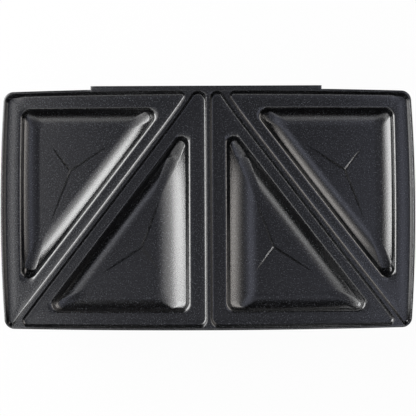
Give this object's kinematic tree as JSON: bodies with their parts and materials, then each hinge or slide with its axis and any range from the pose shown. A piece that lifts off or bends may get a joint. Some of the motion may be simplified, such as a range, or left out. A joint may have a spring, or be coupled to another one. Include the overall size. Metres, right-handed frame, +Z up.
{
  "type": "sandwich toaster base with lift-out plate",
  "caption": "Lower half of a two-slice sandwich toaster: lift-out cast plate with triangular pockets on a heated base, held by slide catches.",
  "frame": {"origin": "centre of the footprint, on the surface the feet stand on", "axes": "+X to the right along the width, +Y to the rear (the ledge side), +Z up"},
  "size_m": [0.232, 0.1368, 0.048],
  "materials": {
    "nonstick_casting": "die casting under a dark sparkled non-stick coating",
    "housing_plastic": "heat-resistant moulding, fine matt grain",
    "pressed_steel": "plain pressed",
    "plated_steel": "zinc plated",
    "reflector_sheet": "bright rolled sheet",
    "heater_sheath": "heat-darkened tube",
    "ceramic": "fired ceramic",
    "terminal_brass": "stamped",
    "black_rubber": "moulded",
    "blue_sleeve": "braided sleeve",
    "red_sleeve": "braided sleeve",
    "brown_sleeve": "braided sleeve",
    "green_sleeve": "braided sleeve",
    "catch_plastic": "moulded"
  },
  "bodies": {
    "base": {"base_housing": "housing_plastic", "plate_frame": "pressed_steel", "reflector_tray": "reflector_sheet", "heater_element": "heater_sheath", "heater_seals": "ceramic", "heater_pins": "plated_steel", "heater_saddles": "pressed_steel", "thermostat_body": "ceramic", "thermostat_cap": "reflector_sheet", "thermostat_bracket": "pressed_steel", "bracket_screws": "plated_steel", "thermal_fuse": "ceramic", "fuse_clip": "pressed_steel", "terminal_block": "ceramic", "terminal_screws": "terminal_brass", "cord_bushing": "black_rubber", "cord_clamp": "housing_plastic", "clamp_screws": "plated_steel", "spade_connectors": "terminal_brass", "lead_neutral": "blue_sleeve", "lead_heater": "red_sleeve", "lead_fuse": "brown_sleeve", "lead_thermostat": "brown_sleeve", "lead_earth": "green_sleeve", "earth_tag": "terminal_brass", "hinge_bush_left": "plated_steel", "hinge_bush_right": "plated_steel", "frame_screws": "plated_steel", "tray_screws": "plated_steel", "foot_front_left": "black_rubber", "foot_front_right": "black_rubber", "foot_rear_left": "black_rubber", "foot_rear_right": "black_rubber"},
    "plate": {"cooking_plate": "nonstick_casting"},
    "left_catch": {"catch_left": "catch_plastic"},
    "right_catch": {"catch_right": "catch_plastic"}
  },
  "joints": [
    {"name": "plate_lift", "type": "slide", "parent": "base", "child": "plate", "axis": [0, 0, 1], "range_m": [0, 0.06]},
    {"name": "catch_left_slide", "type": "slide", "parent": "base", "child": "left_catch", "axis": [0, 1, 0], "range_m": [0, 0.011]},
    {"name": "catch_right_slide", "type": "slide", "parent": "base", "child": "right_catch", "axis": [0, 1, 0], "range_m": [0, 0.011]}
  ]
}
